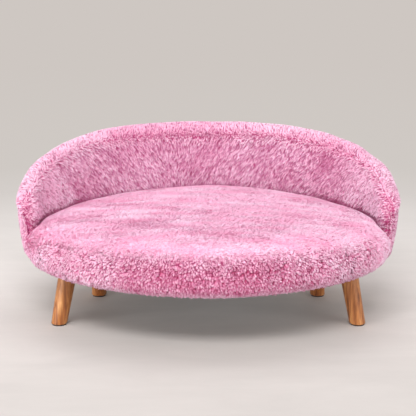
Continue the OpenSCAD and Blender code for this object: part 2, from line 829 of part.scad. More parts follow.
module cushion_skin() {
    polyhedron(
        points = level_points(seat_levels([0.4, 0.75], [90, 58, 36, 17, 0, -35, -65, -90], 0),
            crown_z(seat_c), seat_foot_z),
        faces = level_faces(12, seat_n),
        convexity = 10
    );
}

module cushion_inside() {
    polyhedron(
        points = level_points(seat_levels([0.6], [90, 48, 20, -20, -60, -90], cover_t),
            crown_z(seat_c) - cover_t, seat_foot_z + cover_t),
        faces = level_faces(9, seat_n),
        convexity = 10
    );
}

module cushion_cover() {
    color([0.92, 0.66, 0.79])
    difference() {
        cushion_skin();
        cushion_inside();
        translate([-slot_len / 2, zip_y - slot_w / 2, seat_foot_z - overrun])
            cube([slot_len, slot_w, cover_t + 2 * overrun]);
    }
}

foam_d = cover_t + gap;
tape_room_w = tape_w + 4 * gap;
tape_room_l = zip_len + 4 * stop_l + 4 * tape_end;
module cushion_foam() {
    color([0.93, 0.9, 0.78])
    difference() {
        polyhedron(
            points = level_points(seat_levels([0.6], [90, 48, 20, -20, -60, -90], foam_d, fibre_t),
                crown_z(seat_c) - foam_d - fibre_t, seat_foot_z + foam_d),
            faces = level_faces(9, seat_n),
            convexity = 10
        );
        translate([-tape_room_l / 2, zip_y - tape_room_w / 2, seat_foot_z + foam_d - overrun])
            cube([tape_room_l, tape_room_w, tape_t + gap + overrun]);
    }
}

// The fibre layer lies between the foam's top and the cover, down to the upper part of the edge
fibre_gap = 4 * gap;
fibre_angle = 48;
module cushion_fibre() {
    upper = [
        [for (o = seat_outline) crown_point(o, 0.6, foam_d)],
        [for (o = seat_outline) seat_point(o, 90, foam_d)],
        [for (o = seat_outline) seat_point(o, fibre_angle, foam_d)]
    ];
    lower = [
        [for (o = seat_outline) seat_point(o, fibre_angle, foam_d, fibre_t - fibre_gap)],
        [for (o = seat_outline) seat_point(o, 90, foam_d, fibre_t - fibre_gap)],
        [for (o = seat_outline) crown_point(o, 0.6, foam_d, fibre_t - fibre_gap)]
    ];
    color([0.96, 0.96, 0.96])
    polyhedron(
        points = level_points(concat(upper, lower),
            crown_z(seat_c) - foam_d, crown_z(seat_c) - foam_d - fibre_t + fibre_gap),
        faces = level_faces(6, seat_n),
        convexity = 10
    );
}

module zip_tape() {
    color([0.88, 0.6, 0.74])
    translate([-zip_len / 2 - stop_l - tape_end - slot_end, zip_y - tape_w / 2, tape_z])
        cube([zip_len + 2 * stop_l + 2 * tape_end + 2 * slot_end, tape_w, tape_t]);
}

module zip_teeth() {
    color([0.85, 0.55, 0.7])
    for (i = [0:floor(zip_len / tooth_pitch) - 1])
        translate([
            -zip_len / 2 + i * tooth_pitch + tooth_gap / 2,
            zip_y - chain_w / 2,
            chain_z
        ])
            cube([tooth_pitch - tooth_gap, chain_w, chain_t]);
}

module zip_stop(x) {
    translate([x, zip_y - chain_w / 2, chain_z]) cube([stop_l - gap, chain_w, chain_t]);
}

module zip_top_stop() {
    color([0.8, 0.8, 0.82]) zip_stop(-zip_len / 2 - stop_l);
}

module zip_bottom_stop() {
    color([0.8, 0.8, 0.82]) zip_stop(zip_len / 2 + gap);
}

module zip_slider() {
    color([0.8, 0.8, 0.82])
    translate([-zip_len / 2, zip_y - slider_w / 2, slider_z])
        difference() {
            cube([slider_l, slider_w, tape_z - gap - slider_z]);
            translate([-overrun, slider_wall, chain_z - gap - slider_z])
                cube([slider_l + 2 * overrun, slider_w - 2 * slider_wall, tape_z]);
        }
}

base_board();
deck_cover();
dust_cover();
dust_cover_staples();
leg_front_left();
leg_front_right();
leg_rear_left();
leg_rear_right();
leg_plate_front_left();
leg_plate_front_right();
leg_plate_rear_left();
leg_plate_rear_right();
glide_front_left();
glide_front_right();
glide_rear_left();
glide_rear_right();
hanger_bolts();
leg_plate_screws();
back_rail();
back_panel();
back_panel_screws();
back_bolts();
back_bolt_washers();
back_insert_nuts();
back_foam_inner();
back_foam_outer();
back_cover();
cushion_cover();
cushion_foam();
cushion_fibre();
zip_tape();
zip_teeth();
zip_top_stop();
zip_bottom_stop();
zip_slider();
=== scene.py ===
import math

import bmesh
import bpy
import numpy as np
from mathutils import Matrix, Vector, kdtree
from mathutils.bvhtree import BVHTree


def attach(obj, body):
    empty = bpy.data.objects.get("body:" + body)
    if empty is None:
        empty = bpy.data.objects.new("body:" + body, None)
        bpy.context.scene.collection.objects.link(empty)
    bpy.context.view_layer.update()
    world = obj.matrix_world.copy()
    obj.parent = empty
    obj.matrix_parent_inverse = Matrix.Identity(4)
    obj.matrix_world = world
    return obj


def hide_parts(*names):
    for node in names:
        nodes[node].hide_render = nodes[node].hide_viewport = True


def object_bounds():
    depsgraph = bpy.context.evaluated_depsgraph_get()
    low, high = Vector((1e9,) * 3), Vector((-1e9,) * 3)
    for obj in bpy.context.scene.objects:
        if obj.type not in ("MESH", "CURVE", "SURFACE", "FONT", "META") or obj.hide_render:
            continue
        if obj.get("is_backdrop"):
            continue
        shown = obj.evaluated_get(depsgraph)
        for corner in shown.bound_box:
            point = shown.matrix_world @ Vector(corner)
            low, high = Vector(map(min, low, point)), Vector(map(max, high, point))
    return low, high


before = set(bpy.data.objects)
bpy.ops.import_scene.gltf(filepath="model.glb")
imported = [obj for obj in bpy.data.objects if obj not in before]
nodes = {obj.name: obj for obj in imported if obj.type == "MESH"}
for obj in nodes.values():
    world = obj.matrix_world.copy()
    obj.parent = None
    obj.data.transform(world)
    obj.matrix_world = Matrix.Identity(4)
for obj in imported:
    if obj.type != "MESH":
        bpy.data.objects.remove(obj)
cad_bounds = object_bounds()
MM = 0.001

# ---------------------------------------------------------------- shape, in mm, as in the CAD source
# The back's outer half width and half depth, its crest at the rear and at the arms, and the power of the fall
W, D, TOP, ARM, CREST = 425.0, 330.0, 384.0, 267.0, 1.52
# Its thickness at the arms and at the rear, and the reach of the nose that closes an arm
T_ARM, T_REAR, NOSE = 50.0, 60.0, 34.0
# How far the nose sinks above SINK_Z and lifts below LIFT_Z, as shares of its reach
SINK, SINK_Z, LIFT, LIFT_Z = 1.5, 205.0, 0.25, 165.0
# The skirt's foot, how far it is rounded up and in, and how far in it meets the board's edge
SKIRT, ROUND_UP, ROUND_IN, NOTCH = 125.0, 9.0, 7.0, 30.4
# The outside's tuck below TUCK_Z, the inside's kick below KICK_Z, and the arms' flare above TUCK_Z
TUCK, TUCK_Z, KICK, KICK_Z, FLARE = 15.0, 235.0, 13.0, 190.0, 0.18
# The deck's height, at the foot of the inside
WALL_FOOT = 145.8
# Points of the wall's section: up the outside, over the crest, and down the inside
N_SIDE, N_ARC, N_IN = 16, 28, 20
# The cushion's half width and half depth, the power of its front curve, its height and its gap to the back
SEAT_W, SEAT_D, SEAT_POWER, SEAT_H, SEAT_GAP = 403.0, 302.0, 1.83, 240.0, 1.5
SEAT_C = np.array([0.0, SEAT_D - D])
# The top's fall to the sides, with its power and reach, and to the front
CROWN_FALL, CROWN_POWER, CROWN_REACH, FRONT_FALL = 28.0, 1.8, 0.9, 8.0
# The height at which the side is fullest, at the front and at the rear, and the power that rounds it
BULGE_Z, REAR_BULGE_Z, SEAT_ROUND = 166.0, 200.0, 0.9
# How far the side rolls in above that height, at the front and at the rear, and below it, and the rim's width
FRONT_ROLL, REAR_ROLL, LOWER_ROLL, RIM_W = 85.0, 45.0, 40.0, 46.0
# The angles round the cushion's middle, in degrees, from which its front curve passes into the rear one and
# its hanging rim fades, and over how many degrees each does
REAR_FROM, RIM_OFF_FROM, OVER = -3.5, -11.0, 7.0


def share(v):
    return np.clip(v, 0, 1)


def smooth(v):
    s = share(v)
    return s * s * (3 - 2 * s)


def fade(v, start, end):
    """0 before start, 1 past end and smooth between them; end may be the lower one."""
    return smooth((v - start) / (end - start))


def mix(p, q, k):
    return p * (1 - k) + q * k


def unit(v):
    return v / np.maximum(np.linalg.norm(v, axis=-1, keepdims=True), 1e-9)


def ellipse(t):
    return np.stack([W * np.cos(t), D * np.sin(t)], -1)


def outward(t):
    return unit(np.stack([np.cos(t) / W, np.sin(t) / D], -1))


def crest_z(t):
    return TOP - (TOP - ARM) * (1 - np.maximum(0, np.sin(t))) ** CREST


def thick(t):
    return T_ARM + (T_REAR - T_ARM) * np.maximum(0, np.sin(t))


def flare(t, z):
    return FLARE * np.cos(t) ** 2 * np.maximum(z - TUCK_Z, 0)


def outer_u(t, z):
    return TUCK * share((TUCK_Z - z) / (TUCK_Z - SKIRT)) ** 2 - flare(t, z)


def inner_u(t, z):
    return thick(t) + KICK * share((KICK_Z - z) / (KICK_Z - WALL_FOOT)) - flare(t, z)


def wall_section(t):
    """The wall's section at angle t, as depths u and heights z.

    It goes from the board's edge round the outside, over the crest and down the inside to the deck.
    """
    r = thick(t) / 2
    arc_z = crest_z(t) - r
    z = np.linspace(SKIRT + ROUND_UP, arc_z, N_SIDE, endpoint=False)
    a = np.radians(np.linspace(0, 180, N_ARC))
    z_in = np.linspace(arc_z, WALL_FOOT, N_IN)[1:]
    k = share((arc_z - z_in) / (arc_z - KICK_Z))
    straight = mix(outer_u(t, arc_z) + thick(t), inner_u(t, KICK_Z), k)
    u_in = np.where(z_in > KICK_Z, straight, inner_u(t, z_in))
    u_arc = outer_u(t, arc_z) + r - r * np.cos(a)
    u = np.concatenate([[NOTCH, outer_u(t, SKIRT) + ROUND_IN], outer_u(t, z), u_arc, u_in, [NOTCH]])
    return u, np.concatenate([[SKIRT, SKIRT], z, arc_z + r * np.sin(a), z_in, [WALL_FOOT]])


def wall_ring(t, turn=0.0, side=1):
    """The wall's section in space. In the nose that closes an arm it draws in by cos(turn)."""
    u, z = wall_section(t)
    k, adv = np.cos(turn), side * NOSE * np.sin(turn)
    mid = outer_u(t, z) + thick(t) / 2
    u = mid + (u - mid) * k
    sink = (1 - k) * NOSE * SINK * share((z - SINK_Z) / (crest_z(t) - SINK_Z))
    lift = (1 - k) * NOSE * LIFT * share((LIFT_Z - z) / (LIFT_Z - SKIRT))
    n = outward(t)
    ahead = np.array([-n[1], n[0]])
    return np.column_stack([ellipse(t) - n * u[:, None] + ahead * adv, z - sink + lift])


def front_r(a):
    """The radius of the cushion's front curve."""
    x, y = np.abs(np.cos(a) / SEAT_W), np.abs(np.sin(a) / SEAT_D)
    return (x**SEAT_POWER + y**SEAT_POWER) ** (-1 / SEAT_POWER)


def side_r(a):
    """The radius at which the cushion meets the arms' inside."""
    ax, by = W - T_ARM - SEAT_GAP, D - T_REAR - SEAT_GAP
    qa = (np.cos(a) / ax) ** 2 + (np.sin(a) / by) ** 2
    qb = 2 * SEAT_C[1] * np.sin(a) / by**2
    return (-qb + np.sqrt(qb * qb - 4 * qa * ((SEAT_C[1] / by) ** 2 - 1))) / (2 * qa)


def seat_outline():
    """The cushion's outline: x, y, how much it is the rear edge, and how far the hanging rim has faded."""
    a = np.concatenate([np.linspace(-90, -16, 46), np.linspace(-15, 3.5, 26)])
    s = fade(a, REAR_FROM, REAR_FROM + OVER)
    ra = np.radians(a)
    r = mix(front_r(ra), side_r(ra), s)
    rim_off = fade(a, RIM_OFF_FROM, RIM_OFF_FROM + OVER)
    front = np.column_stack([r * np.cos(ra), SEAT_C[1] + r * np.sin(ra), s, rim_off])
    t = np.radians(np.linspace(4, 90, 56))
    p = ellipse(t) - outward(t) * (thick(t) + SEAT_GAP)[:, None]
    half = np.vstack([front, np.column_stack([p, np.ones((len(t), 2))])])
    other = half[-2:0:-1] * np.array([-1, 1, 1, 1])
    return np.vstack([half, other])


def crown_z(p):
    fall = CROWN_FALL * (np.abs(p[..., 0]) / (CROWN_REACH * W)) ** CROWN_POWER
    return SEAT_H - fall - FRONT_FALL * share(-p[..., 1] / D) ** 2


def seat_level(o, a):
    """The cushion's points at the turn a: 90 is the top's edge, 0 the fullest height, -90 the foot."""
    xy, rear, off = o[:, :2], o[:, 2], o[:, 3]
    dirs = unit(xy - SEAT_C)
    full = mix(BULGE_Z, REAR_BULGE_Z, rear)
    roll = mix(FRONT_ROLL, REAR_ROLL, rear) if a >= 0 else np.full(len(o), LOWER_ROLL)
    turn = math.radians(a)
    c, s = abs(math.cos(turn)) ** SEAT_ROUND, abs(math.sin(turn)) ** SEAT_ROUND
    p = xy - dirs * (roll * (1 - c))[:, None]
    z = mix(full, crown_z(p), s) if a >= 0 else mix(full, mix(SKIRT, WALL_FOOT, off), s)
    return np.column_stack([p, z])


# ---------------------------------------------------------------- skins under the pile
def sines(p, seed, size, terms=7):
    """A smooth, seeded variation from -1 to 1 over points in mm, with hills about size mm apart."""
    rng = np.random.default_rng(seed)
    total = np.zeros(len(p))
    for _ in range(terms):
        k = unit(rng.normal(size=3)) * rng.uniform(0.6, 1.5) * 2 * math.pi / size
        total += np.sin(p @ k + rng.uniform(0, 6.28))
    return total / math.sqrt(terms) / 1.4


def grid_normals(g):
    """The unit tangents both ways, and the normal, of a grid of points that closes the second way."""
    du, dv = np.gradient(g, axis=0), np.roll(g, -1, 1) - np.roll(g, 1, 1)
    return unit(du), unit(dv), unit(np.cross(du, dv))


class Skin:
    """A pile's ground: points, triangles, and what the pile does at each point."""

    def __init__(self, grid, depth, flow, weight, length, lean, shade, wild, gather):
        nu, nv = grid.shape[:2]
        n = grid_normals(grid)[2]
        self.normal = n.reshape(-1, 3)
        self.co = (grid - n * depth[..., None]).reshape(-1, 3)
        i, j = np.arange(nu - 1)[:, None] * nv, np.arange(nv)[None]
        k = (j + 1) % nv
        self.quads = np.stack([i + j, i + nv + j, i + nv + k, i + k], -1).reshape(-1, 4)
        self.flow = unit(flow.reshape(-1, 3))
        spread = lambda v: np.broadcast_to(v, (nu, nv)).reshape(-1)
        self.weight = spread(weight)
        self.traits = np.stack([spread(v) for v in (length, lean, shade, wild, gather)], 1)

    def sample(self, rng, count):
        """Seeded points on the skin, with normal, flow and traits, and the weighted area of the whole."""
        q = self.quads
        tri = np.concatenate([q[:, [0, 1, 2]], q[:, [0, 2, 3]]])
        p = self.co[tri]
        area = np.linalg.norm(np.cross(p[:, 1] - p[:, 0], p[:, 2] - p[:, 0]), axis=1) / 2
        w = area * self.weight[tri].mean(1)
        pick = tri[np.searchsorted(np.cumsum(w), rng.random(count) * w.sum()).clip(0, len(tri) - 1)]
        k = rng.random((count, 2))
        k = np.where(k.sum(1, keepdims=True) > 1, 1 - k, k)
        k = np.column_stack([1 - k.sum(1), k])
        blend = lambda v: np.einsum("ij,ij...->i...", k, v[pick])
        n, f = unit(blend(self.normal)), blend(self.flow)
        f = unit(f - n * (f * n).sum(1, keepdims=True))
        return blend(self.co), n, f, blend(self.traits).T, w.sum()


def new_object(name, co, faces, mats, smooth_faces=True):
    """A mesh object from points in mm."""
    mesh = bpy.data.meshes.new(name)
    mesh.from_pydata((np.asarray(co) * MM).tolist(), [], [list(map(int, f)) for f in faces])
    mesh.polygons.foreach_set("use_smooth", [smooth_faces] * len(mesh.polygons))
    obj = bpy.data.objects.new(name, mesh)
    bpy.context.scene.collection.objects.link(obj)
    for m in mats:
        mesh.materials.append(m)
    return obj


def turned(f, n, angle):
    """f turned about n by an angle for each row."""
    c, s = np.cos(angle)[:, None], np.sin(angle)[:, None]
    return f * c + np.cross(n, f) * s


# How single strands differ: their turn and roll in radians, and the ranges of length, hold and width
TURN_VARIES, ROLL_VARIES = 0.16, 0.5
LENGTHS, TUFT_LENGTHS, HOLDS, WIDTHS = (0.8, 1.08), (0.85, 1.12), (0.55, 1.15), (0.75, 1.25)
# The bend of a strand: its lean, place, hold and half width there, as shares of those at the tip or root
BEND_LEAN, BEND_AT, BEND_HOLD, BEND_HALF = 0.55, 0.52, 0.45, 0.46
# The distances in mm of the swirls in the flow, and the strength of the smaller ones
SWIRL_SIZE, SWIRL_SMALL, SMALL_SHARE = 70.0, 28.0, 0.6
# The shading normal: shares of the skin's normal and of the strand's own face
NORMAL_SKIN, NORMAL_FACE = 0.8, 0.3


def grow_pile(name, skin, body, mat, count, parts, width, tuft, pull, swirl, seed,
              stretch=(1, 1, 1), upright=0.25, rounded=0.6, vary=0.75, grain=0.6):
    """Strands of pile on a skin, gathered into tufts about tuft mm apart, in parts meshes."""
    rng = np.random.default_rng(seed)
    p, n, f, (length, lean, shade, _, gather), area = skin.sample(rng, count)
    c, cn, cf, (cl, clean, _, cwild, _), _ = skin.sample(rng, int(area * stretch[0] / tuft**2) + 1)
    tree = kdtree.KDTree(len(c))
    st = np.array(stretch)
    for i, q in enumerate((c * st).tolist()):
        tree.insert(q, i)
    tree.balance()
    own = np.fromiter((tree.find(q)[1] for q in (p * st).tolist()), int, count)

    def wander(q):
        small = sines(q, seed + 2, SWIRL_SMALL)
        return swirl * sines(q, seed + 1, SWIRL_SIZE) + swirl * SMALL_SHARE * small

    f = turned(f, n, wander(p) + rng.normal(0, TURN_VARIES, count))
    cf = turned(cf, cn, wander(c) + rng.normal(0, 1, len(c)) * (swirl + cwild))
    cl = cl * rng.uniform(*TUFT_LENGTHS, len(c))
    clean = clean * (1 - upright * rng.random(len(c)))
    length = length * rng.uniform(*LENGTHS, count)
    aim = lambda nn, ff, an: nn * np.cos(an)[:, None] + ff * np.sin(an)[:, None]
    tip = p + aim(n, f, lean) * length[:, None]
    ctip = c + aim(cn, cf, clean) * cl[:, None]
    hold = (pull * gather * rng.uniform(*HOLDS, count))[:, None]
    tip = tip + hold * (ctip[own] - tip)
    mid = p + aim(n, f, lean * BEND_LEAN) * (length * BEND_AT)[:, None] + BEND_HOLD * hold * (c[own] - p)
    way = unit(tip - p)
    side = unit(np.cross(way, n))
    roll = rng.normal(0, ROLL_VARIES, count)[:, None]
    side = unit(side * np.cos(roll) + np.cross(side, way) * np.sin(roll))
    face = np.cross(side, way)
    flip = np.sign((face * n).sum(1, keepdims=True) + 1e-9)
    side, face = side * flip, unit(face * flip)
    w = (width * rng.uniform(*WIDTHS, count))[:, None]
    bend = side * w * BEND_HALF
    co = np.stack([p - side * w / 2, p + side * w / 2, mid + bend, mid - bend, tip], 1)
    apart = (p - c[own]) / (0.5 * tuft)
    apart = apart / np.maximum(1, np.linalg.norm(apart, axis=1, keepdims=True))
    nrm = unit(n * NORMAL_SKIN + face * NORMAL_FACE + apart * rounded)[:, None] + np.zeros((1, 5, 1))
    order = np.argsort(np.arctan2(p[:, 1] - SEAT_C[1], p[:, 0]), kind="stable")
    # The tint: tone that varies at random by tuft and by strand, times the skin's painted light and shade
    by_tuft, by_strand = rng.random(len(c))[own] - 0.5, rng.random(count) - 0.5
    tint = share((0.5 + vary * by_tuft + grain * by_strand) * shade)
    for i, chosen in enumerate(np.array_split(order, parts)):
        obj = strand_mesh(f"{name}_{i + 1}", co[chosen], nrm[chosen], tint[chosen], p[chosen], mat)
        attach(obj, body)


# A strand is a quad and a triangle on five points; these are the corners of both, and their heights and sides
CORNERS = np.array([0, 1, 2, 3, 3, 2, 4])
POINT_HEIGHT, POINT_SIDE = np.array([0, 0, 0.5, 0.5, 1.0]), np.array([-1, 1, 1, -1, 0])
# The bake's map has CELLS by CELLS cells. In one, strands lie apart by their tint, and stand CELL_TALL high
CELLS, CELL_FOOT, CELL_TALL, CELL_SPREAD, CELL_SIDE = 32, 0.12, 0.76, 0.3, 0.1


def strand_mesh(name, co, nrm, tint, roots, mat):
    """One mesh of strands, with the map strand for their tint and height, and the map for the bake."""
    m, n = len(co), len(CORNERS)
    mesh = bpy.data.meshes.new(name)
    mesh.vertices.add(m * 5)
    mesh.vertices.foreach_set("co", (co * MM).astype(np.float32).ravel())
    loops = (np.arange(m)[:, None] * 5 + CORNERS).ravel()
    mesh.loops.add(len(loops))
    mesh.loops.foreach_set("vertex_index", loops.astype(np.int32))
    mesh.polygons.add(2 * m)
    starts = (np.arange(m)[:, None] * n + np.array([0, 4])).ravel()
    mesh.polygons.foreach_set("loop_start", starts.astype(np.int32))
    mesh.update(calc_edges=True)
    mesh.polygons.foreach_set("use_smooth", np.ones(2 * m, bool))
    v, u = POINT_HEIGHT[CORNERS], POINT_SIDE[CORNERS]
    layer = mesh.uv_layers.new(name="strand")
    uv = np.stack([np.repeat(tint, n), np.tile(v, m)], 1)
    layer.data.foreach_set("uv", uv.astype(np.float32).ravel())
    # Strands that stand together share a cell of the bake's map, with their length up the cell
    across = np.argsort(np.argsort(np.arctan2(roots[:, 1] - SEAT_C[1], roots[:, 0])))
    column = (across * CELLS // m).clip(0, CELLS - 1)
    height = roots[:, 2] + 0.02 * np.hypot(roots[:, 0], roots[:, 1] - SEAT_C[1])
    row = np.zeros(m, int)
    for k in range(CELLS):
        inside = np.flatnonzero(column == k)
        row[inside] = np.argsort(np.argsort(height[inside])) * CELLS // max(len(inside), 1)
    bake = mesh.uv_layers.new(name="OFBake")
    x = (column[:, None] + 0.5 + CELL_SPREAD * (2 * tint[:, None] - 1) + CELL_SIDE * u) / CELLS
    y = (row[:, None] + CELL_FOOT + CELL_TALL * v) / CELLS
    bake.data.foreach_set("uv", np.stack([x, y], -1).astype(np.float32).ravel())
    mesh.materials.append(mat)
    mesh.normals_split_custom_set_from_vertices(nrm.reshape(-1, 3))
    obj = bpy.data.objects.new(name, mesh)
    bpy.context.scene.collection.objects.link(obj)
    return obj


# ---------------------------------------------------------------- materials
def srgb(*bytes_):
    """The linear colour of a red, green and blue from 0 to 255."""
    values = [v / 255 for v in bytes_]
    return (*(v / 12.92 if v <= 0.04045 else ((v + 0.055) / 1.055) ** 2.4 for v in values), 1.0)


def background_rays(tree):
    """1 for the rays that show the background: the camera's own, and those from metal and glass."""
    path = tree.nodes.new("ShaderNodeLightPath")
    total = path.outputs["Is Camera Ray"]
    for kind in ("Is Glossy Ray", "Is Transmission Ray"):
        add = tree.nodes.new("ShaderNodeMath")
        add.operation, add.use_clamp = "ADD", True
        tree.links.new(total, add.inputs[0])
        tree.links.new(path.outputs[kind], add.inputs[1])
        total = add.outputs["Value"]
    return total


class Mat:
    """A node material built step by step."""

    def __init__(self, name, rough=0.6, metal=0.0, **values):
        self.m = bpy.data.materials.new(name)
        self.m.use_nodes = True
        self.t = self.m.node_tree
        self.bsdf = next(n for n in self.t.nodes if n.type == "BSDF_PRINCIPLED")
        self.bsdf.inputs["Roughness"].default_value = rough
        self.bsdf.inputs["Metallic"].default_value = metal
        for k, v in values.items():
            self.bsdf.inputs[k.replace("_", " ")].default_value = v
        self.coords = self.t.nodes.new("ShaderNodeTexCoord").outputs["Object"]

    def link(self, a, b):
        self.t.links.new(a, b)
        return self

    def mapped(self, scale, rotation=(0, 0, 0), location=(0, 0, 0)):
        n = self.t.nodes.new("ShaderNodeMapping")
        n.inputs["Scale"].default_value = scale
        n.inputs["Rotation"].default_value = rotation
        n.inputs["Location"].default_value = location
        self.link(self.coords, n.inputs["Vector"])
        return n.outputs["Vector"]

    def noise(self, vector, detail=3.0, rough=0.55, distortion=0.0):
        n = self.t.nodes.new("ShaderNodeTexNoise")
        values = {"Scale": 1.0, "Detail": detail, "Roughness": rough, "Distortion": distortion}
        for k, v in values.items():
            n.inputs[k].default_value = v
        self.link(vector, n.inputs["Vector"])
        return n.outputs["Fac"]

    def wave(self, vector, direction):
        n = self.t.nodes.new("ShaderNodeTexWave")
        n.bands_direction = direction
        n.inputs["Scale"].default_value = 1.0
        self.link(vector, n.inputs["Vector"])
        return n.outputs["Fac"]

    def cells(self, vector):
        n = self.t.nodes.new("ShaderNodeTexVoronoi")
        n.inputs["Scale"].default_value = 1.0
        self.link(vector, n.inputs["Vector"])
        return n.outputs["Distance"]

    def ramp(self, fac, *stops):
        n = self.t.nodes.new("ShaderNodeValToRGB")
        e = n.color_ramp.elements
        while len(e) < len(stops):
            e.new(0.5)
        for el, (pos, col) in zip(e, stops):
            el.position, el.color = pos, col
        self.link(fac, n.inputs["Fac"])
        return n.outputs["Color"]

    def math(self, op, a, b):
        n = self.t.nodes.new("ShaderNodeMath")
        n.operation = op
        for i, v in enumerate((a, b)):
            if isinstance(v, (int, float)):
                n.inputs[i].default_value = v
            else:
                self.link(v, n.inputs[i])
        return n.outputs[0]

    def blend(self, a, b, fac):
        """Colour a times b, by fac. The sockets 0, 6, 7 and output 2 are those of the node's colour mode."""
        n = self.t.nodes.new("ShaderNodeMix")
        n.data_type = "RGBA"
        n.blend_type = "MULTIPLY"
        for i, v in ((0, fac), (6, a), (7, b)):
            if isinstance(v, (int, float, tuple)):
                n.inputs[i].default_value = v
            else:
                self.link(v, n.inputs[i])
        return n.outputs[2]

    def colour(self, out):
        self.link(out, self.bsdf.inputs["Base Color"])
        return self

    def bump(self, height, strength=0.3, distance=0.001):
        n = self.t.nodes.new("ShaderNodeBump")
        n.inputs["Strength"].default_value = strength
        n.inputs["Distance"].default_value = distance
        self.link(height, n.inputs["Height"])
        self.link(n.outputs["Normal"], self.bsdf.inputs["Normal"])
        return self

    def roughness(self, fac, low, high):
        n = self.t.nodes.new("ShaderNodeMapRange")
        n.inputs["To Min"].default_value = low
        n.inputs["To Max"].default_value = high
        self.link(fac, n.inputs["Value"])
        self.link(n.outputs[0], self.bsdf.inputs["Roughness"])
        return self


def grey(v):
    return (v, v, v, 1.0)


def pile_material(name, root, mid, tip, patch_scale, patch, low):
    """Pile that goes from a root colour, painted shade deep in the pile, to the tip colour, with darker, more
    saturated strands towards low, for random tone and for painted shade, and broad patches.
    """
    m = Mat(name, rough=0.85, Specular_IOR_Level=0.3, Sheen_Weight=0.3, Sheen_Roughness=0.5)
    m.bsdf.inputs["Sheen Tint"].default_value = srgb(255, 205, 230)
    uv = m.t.nodes.new("ShaderNodeUVMap")
    uv.uv_map = "strand"
    sep = m.t.nodes.new("ShaderNodeSeparateXYZ")
    m.link(uv.outputs["UV"], sep.inputs["Vector"])
    # Painted shade: each strand darkens from its tip down to its root
    along = m.ramp(sep.outputs["Y"], (0.06, srgb(*root)), (0.36, srgb(*mid)), (0.7, srgb(*tip)))
    deep, half = tuple(v * v for v in low), tuple(0.4 + 0.6 * v for v in low)
    tints = (0.0, (*deep, 1)), (0.15, (*low, 1)), (0.34, (*half, 1)), (0.62, grey(1.0))
    col = m.blend(along, m.ramp(sep.outputs["X"], *tints), 1.0)
    big = m.ramp(m.noise(m.mapped(patch_scale), detail=4.0), (0.32, srgb(*patch)), (0.62, grey(1.0)))
    return m.colour(m.blend(col, big, 1.0)).m


def wood_material(name, lean_x, lean_y, at):
    """Lacquered wood, with its grain along a leg that leans by these degrees."""
    m = Mat(name, rough=0.4, Specular_IOR_Level=0.55)
    rot = (math.radians(-lean_y), math.radians(lean_x), 0)
    long = m.noise(m.mapped((130, 130, 7), rot, at), detail=7.0, rough=0.65, distortion=0.4)
    fine = m.noise(m.mapped((520, 520, 22), rot, at), detail=3.0)
    broad = m.noise(m.mapped((26, 26, 9), rot, at), detail=2.0)
    col = m.ramp(long, (0.32, srgb(102, 54, 21)), (0.45, srgb(160, 98, 50)), (0.55, srgb(188, 125, 70)),
                 (0.7, srgb(218, 162, 104)))
    col = m.blend(col, m.ramp(fine, (0.35, grey(0.74)), (0.55, grey(1.0))), 0.75)
    col = m.blend(col, m.ramp(broad, (0.35, srgb(226, 206, 178)), (0.6, grey(1.0))), 0.8)
    m.colour(col).roughness(fine, 0.46, 0.32)
    return m.bump(fine, 0.25, 0.0004).m


def plywood_material():
    m = Mat("plywood", rough=0.7)
    face = m.noise(m.mapped((12, 190, 190)), detail=6.0, distortion=0.6)
    ply = m.wave(m.mapped((0, 0, 110)), "Z")
    col = m.ramp(face, (0.3, srgb(188, 152, 108)), (0.7, srgb(226, 198, 156)))
    col = m.blend(col, m.ramp(ply, (0.3, grey(0.8)), (0.6, grey(1.0))), 0.5)
    return m.colour(col).bump(face, 0.2, 0.0005).m


def metal_material(name, colour, rough):
    m = Mat(name, rough=rough, metal=1.0)
    n = m.noise(m.mapped((140, 140, 900)), detail=4.0)
    m.colour(m.ramp(n, (0.3, srgb(*[int(c * 0.86) for c in colour])), (0.7, srgb(*colour))))
    return m.roughness(n, rough - 0.08, rough + 0.12).m


def cloth_material(name, dark, light, pitch, rough=0.9):
    """A plain weave, with its threads along X and Y."""
    m = Mat(name, rough=rough, Specular_IOR_Level=0.2, Sheen_Weight=0.15, Sheen_Roughness=0.5)
    k = 1 / pitch
    warp, weft = m.wave(m.mapped((k, k, k)), "X"), m.wave(m.mapped((k, k, k)), "Y")
    weave = m.math("MULTIPLY", warp, weft)
    uneven = m.noise(m.mapped((60, 60, 60)), detail=5.0)
    col = m.ramp(weave, (0.05, srgb(*dark)), (0.7, srgb(*light)))
    col = m.blend(col, m.ramp(uneven, (0.3, grey(0.88)), (0.65, grey(1.0))), 1.0)
    return m.colour(col).bump(weave, 0.4, 0.0006).m


def porous_material(name, dark, light, scale):
    m = Mat(name, rough=0.95, Specular_IOR_Level=0.2)
    c = m.cells(m.mapped((scale, scale, scale)))
    m.colour(m.ramp(c, (0.05, srgb(*dark)), (0.5, srgb(*light))))
    return m.bump(c, 0.5, 0.001).m


def plastic_material(name, colour, rough, scale):
    m = Mat(name, rough=rough)
    n = m.noise(m.mapped((scale, scale, scale)), detail=5.0)
    m.colour(m.ramp(n, (0.3, srgb(*[int(c * 0.85) for c in colour])), (0.7, srgb(*colour))))
    return m.roughness(n, rough - 0.08, rough + 0.1).bump(n, 0.2, 0.0003).m


def ground_material(name, dark, light):
    """The knitted backing between the roots."""
    m = Mat(name, rough=0.95, Specular_IOR_Level=0.15)
    knit = m.cells(m.mapped((420, 420, 420)))
    patch = m.noise(m.mapped((30, 30, 30)), detail=3.0)
    col = m.ramp(knit, (0.1, srgb(*dark)), (0.6, srgb(*light)))
    col = m.blend(col, m.ramp(patch, (0.3, grey(0.85)), (0.65, grey(1.0))), 1.0)
    return m.colour(col).bump(knit, 0.5, 0.0008).m
